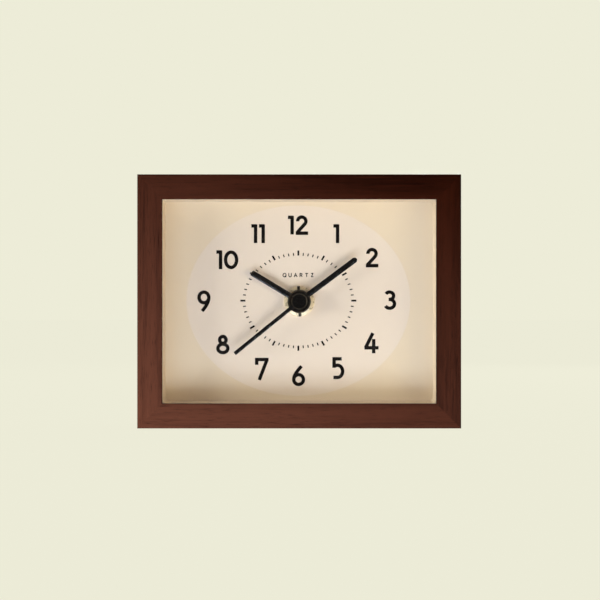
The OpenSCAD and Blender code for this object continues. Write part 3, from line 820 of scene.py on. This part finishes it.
def make_minute_track(material):
    """Sixty marks whose inner ends lie on an oval, each pointing at the middle."""
    meshes = []
    for minute in range(60):
        angle = 6 * minute
        across, upright = clock_point(angle, 1.0)
        start = 1 / math.hypot(across / TRACK_HALF[0], upright / TRACK_HALF[1])
        length, width = HOUR_MARK if minute % 5 == 0 else MINUTE_MARK
        line = [clock_point(angle, reach * MM) for reach in (start, start + length)]
        meshes.append(stroke_mesh("mark", line, width * MM, INK_FRONT, OVAL_FRONT, False, PRINT_CENTRE))
    printed("printed_minute_track", meshes, material)


# ---- nut ----

NUT_BORE_R = 3.8 * MM
# The nut's face slopes back from this radius by this much per millimetre, as far as its rounded edge
NUT_FACE_R = 4.3 * MM
NUT_SLOPE = 0.27
NUT_ROUND = 0.5 * MM
# The two spanner slots: width, depth and length, their middles' distance inside the nut's edge, how far their
# cutters stand out of the nut's face, and how far they lean from upright, in degrees
SLOT_SIZE = (1.0 * MM, 1.7 * MM, 2.2 * MM)
SLOT_INSET = 0.6 * MM
SLOT_PROUD = 0.1 * MM
SLOT_LEAN = 2.9


def make_nut(material):
    """The nut as turned brass, with a sloping face, a rounded edge and two spanner slots."""
    outer, front, back = nut_high.x, nut_low.y, nut_high.y
    shoulder = outer - NUT_ROUND
    edge = front + NUT_SLOPE * (shoulder - NUT_FACE_R) + NUT_ROUND
    profile = [(NUT_BORE_R, back), (NUT_BORE_R, front), (NUT_FACE_R, front)]
    profile += arc((shoulder, edge), (NUT_ROUND, NUT_ROUND), -75, 0, 10)
    profile += [(outer, back)]
    rings = [at_depth(arc((0, 0), (r, r), 0, 360, 128)[:-1], y) for r, y in profile]
    slots_cut = []
    for lean in (-SLOT_LEAN, 180 - SLOT_LEAN):
        x, z = clock_point(lean, outer - SLOT_INSET)
        middle = CENTRE + Vector((x, front + SLOT_SIZE[1] / 2 - SLOT_PROUD, z))
        slots_cut.append((middle, SLOT_SIZE, lean))
    slotted = cut(ring_mesh("turned_nut", rings), boxes_mesh("slots", slots_cut))
    nut = new_object("turned_nut", slotted, material.data)
    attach(nut, "case")
    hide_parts("central_nut")


# ---- raised marks on the back ----

COVER_THICK = 2.0 * MM
COVER_BACK = cover_low.y + COVER_THICK
DOOR_BACK = COVER_BACK - 0.2 * MM
RAISED = 0.35 * MM
# The marks' sizes in millimetres, the arrows' sweep in degrees and their barbs' lean in radians
RAISED_PEN = 0.6
ARROW_R = 10.2
ARROW_SWEEP = 100
ARROW_HEAD = 1.5
BARB_LEAN = 0.6
SIGN_HALF = 1.5
SIGN_INSET = 6.0 * MM


def raised(name, strokes, middle, back, body, material):
    """A raised mark that stands off the surface at this depth."""
    mesh = glyph_mesh(strokes, RAISED_PEN, middle, back + RAISED, back)
    piece = new_object(name, mesh, material.data)
    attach(piece, body)


def make_turn_arrows(material):
    """Two raised arrows round the set knob, one over it and one under it, that follow each other round."""
    middle = (knob_low + knob_high) / 2
    for name, start in (("arrow_over_knob", 40), ("arrow_under_knob", 220)):
        line = arc((0, 0), (ARROW_R, ARROW_R), start, start + ARROW_SWEEP)
        tip = Vector(line[-1])
        heading = math.radians(start + ARROW_SWEEP + 90)
        barbs = [
            tuple(tip - ARROW_HEAD * Vector((math.cos(heading + lean), math.sin(heading + lean))))
            for lean in (-BARB_LEAN, BARB_LEAN)
        ]
        head = [barbs[0], tuple(tip), barbs[1]]
        raised(name, [(line, False), (head, False)], middle, COVER_BACK, "case", material)


def make_cell_signs(material):
    """Plus and minus on the battery door, near the ends of the cell."""
    height = (door_low.z + door_high.z) / 2
    level = ([(-SIGN_HALF, 0), (SIGN_HALF, 0)], False)
    upright = ([(0, -SIGN_HALF), (0, SIGN_HALF)], False)
    plus_place = Vector((door_high.x - SIGN_INSET, 0.0, height))
    minus_place = Vector((door_low.x + SIGN_INSET, 0.0, height))
    raised("plus_sign", [level, upright], plus_place, DOOR_BACK, "battery_door", material)
    raised("minus_sign", [level], minus_place, DOOR_BACK, "battery_door", material)


# ---- stage ----

BACKGROUND = (0.847, 0.839, 0.687)
# The floor takes almost all its colour from its own glow, so that the lamps leave no pools on it
FLOOR_COLOUR = shade(BACKGROUND, 0.012)
FLOOR_GLOW = shade(BACKGROUND, 0.985)
FLOOR_RADIUS = 6.0


def make_floor():
    """A wide pale floor that the key light passes, as it stands lower than the floor."""
    mesh = bpy.data.meshes.new("floor")
    shape = bmesh.new()
    bmesh.ops.create_circle(shape, cap_ends=True, segments=96, radius=FLOOR_RADIUS)
    shape.to_mesh(mesh)
    shape.free()
    floor = new_object("floor", mesh)
    made = Material("floor_paper", FLOOR_COLOUR, 1.0)
    made.set("Emission Color", (*FLOOR_GLOW, 1.0))
    made.set("Emission Strength", 1.0)
    made.set("Specular IOR Level", 0.0)
    mesh.materials.append(made.data)
    floor.visible_shadow = False
    floor.visible_diffuse = False
    floor.visible_glossy = False
    floor.visible_transmission = False


# The room's own brightness: even for soft light, and for reflections dark straight in front of the dial
ROOM_COLOUR = (1.0, 0.88, 0.92)
ROOM_LIGHT = 0.28
ROOM_REFLECTED = (0.01, 0.25)


def make_world():
    """The background's colour for the camera, and a plain soft room for the clock."""
    world = bpy.data.worlds.new("studio")
    bpy.context.scene.world = world
    world.use_nodes = True
    tree = world.node_tree
    path = tree.nodes.new("ShaderNodeLightPath")
    split = tree.nodes.new("ShaderNodeSeparateXYZ")
    tree.links.new(tree.nodes.new("ShaderNodeTexCoord").outputs["Generated"], split.inputs["Vector"])
    reflected = tree.nodes.new("ShaderNodeMapRange")
    reflected.interpolation_type = "SMOOTHSTEP"
    ends = {"From Min": -0.95, "From Max": -0.4, "To Min": ROOM_REFLECTED[0], "To Max": ROOM_REFLECTED[1]}
    for name, value in ends.items():
        reflected.inputs[name].default_value = value
    tree.links.new(split.outputs["Y"], reflected.inputs["Value"])
    strength = tree.nodes.new("ShaderNodeMix")
    strength.inputs["A"].default_value = ROOM_LIGHT
    tree.links.new(path.outputs["Is Glossy Ray"], strength.inputs["Factor"])
    tree.links.new(reflected.outputs["Result"], strength.inputs["B"])
    room = tree.nodes["Background"]
    room.inputs["Color"].default_value = (*ROOM_COLOUR, 1.0)
    tree.links.new(strength.outputs["Result"], room.inputs["Strength"])
    seen = tree.nodes.new("ShaderNodeBackground")
    seen.inputs["Color"].default_value = (*BACKGROUND, 1.0)
    choose = tree.nodes.new("ShaderNodeMixShader")
    tree.links.new(path.outputs["Is Camera Ray"], choose.inputs["Fac"])
    tree.links.new(room.outputs["Background"], choose.inputs[1])
    tree.links.new(seen.outputs["Background"], choose.inputs[2])
    tree.links.new(choose.outputs["Shader"], tree.nodes["World Output"].inputs["Surface"])


def add_light(name, kind, place, target, power, colour):
    """A light at a place given from the clock's middle, which faces a target given in the same way."""
    light = bpy.data.lights.new(name, kind)
    light.energy = power
    light.color = colour
    light.cycles.use_multiple_importance_sampling = False
    lamp = bpy.data.objects.new(name, light)
    bpy.context.scene.collection.objects.link(lamp)
    lamp.location = CENTRE + Vector(place)
    lamp.rotation_mode = "QUATERNION"
    lamp.rotation_quaternion = (Vector(place) - Vector(target)).to_track_quat("Z", "Y")
    return lamp


def area_light(name, place, size, power, colour=(1.0, 1.0, 1.0), glossy=True):
    """A soft rectangular light that faces the clock."""
    lamp = add_light(name, "AREA", place, (0, 0, 0), power, colour)
    lamp.data.shape = "RECTANGLE"
    lamp.data.size, lamp.data.size_y = size
    lamp.visible_glossy = glossy
    return lamp


def spot_on_wood(name, place, target, reach, power, colour, wood_only):
    """A spotlight that fades out at this reach from its target, and lights the frame alone."""
    lamp = add_light(name, "SPOT", place, target, power, colour)
    distance = (Vector(place) - Vector(target)).length
    lamp.data.spot_size = 2 * math.atan(reach / distance)
    lamp.data.spot_blend = 1.0
    lamp.data.shadow_soft_size = 0.05
    lamp.visible_glossy = False
    lamp.light_linking.receiver_collection = wood_only


def reach_of_light(name, things, state):
    """A collection that makes a lamp light these things alone, or everything but them."""
    reach = bpy.data.collections.new(name)
    for thing in things:
        reach.objects.link(thing)
    for member in reach.collection_objects:
        member.light_linking.link_state = state
    return reach


def make_lights(wood):
    """A cool key light from below, a window at the left, a warm light at the right and one behind.

    The wood has its own key light, which leaves no glare on the frame's sides, and two blue spotlights that
    brighten its lower left and lower right.
    """
    wood_only = reach_of_light("wood_only", wood, "INCLUDE")
    all_but_wood = reach_of_light("all_but_wood", wood, "EXCLUDE")
    for name, glossy, reach in (("key", True, all_but_wood), ("key_on_wood", False, wood_only)):
        key = area_light(name, (-0.07, -0.55, -0.36), (0.6, 0.34), 3.15, (0.79, 0.88, 1.0), glossy)
        key.light_linking.receiver_collection = reach
    area_light("window", (-0.9, -0.4, 0.08), (0.5, 0.3), 6.6, (1.0, 1.0, 0.92), glossy=False)
    area_light("warm", (0.5, -0.6, -0.1), (0.4, 0.4), 2.4, (1.0, 0.87, 0.58), glossy=False)
    area_light("rear", (0.35, 0.75, 0.45), (0.8, 0.8), 10.0)
    blue = (0.17, 0.42, 1.0)
    spot_on_wood("left_spot", (-0.35, -0.9, -0.45), (-0.1, 0.0, -0.09), 0.175, 1400.0, blue, wood_only)
    spot_on_wood("right_spot", (0.1, -0.9, -0.45), (0.07, 0.0, -0.04), 0.07, 520.0, blue, wood_only)


# The camera's distance from the frame's front, how far it stands right of and above the middle, and its lens
VIEW_DISTANCE = 1.1
VIEW_RIGHT = 0.32 * MM
VIEW_UP = 0.56 * MM
LENS = 164.5


def make_camera():
    """The photograph's view: level and square on to the dial."""
    data = bpy.data.cameras.new("camera")
    data.sensor_width = 36.0
    data.lens = LENS
    camera = bpy.data.objects.new("camera", data)
    bpy.context.scene.collection.objects.link(camera)
    camera.location = (VIEW_RIGHT, case_low.y - VIEW_DISTANCE, CENTRE.z + VIEW_UP)
    camera.rotation_euler = (math.radians(90), 0, 0)
    bpy.context.scene.camera = camera


# ---- the whole clock ----

bpy.context.scene.view_settings.view_transform = "Standard"
make_camera()
make_world()
make_floor()
slots = make_materials()
dress_cad_nodes(slots)
make_lights(make_frame() + [frame["nodes"]["mitre_splines"]])
make_tray(slots["dial_plastic"])
make_oval(oval_print())
ink = black_ink()
make_numbers(ink)
make_word(ink)
make_minute_track(ink)
make_nut(nut_brass())
make_turn_arrows(slots["cover_plastic"])
make_cell_signs(slots["cover_plastic"])
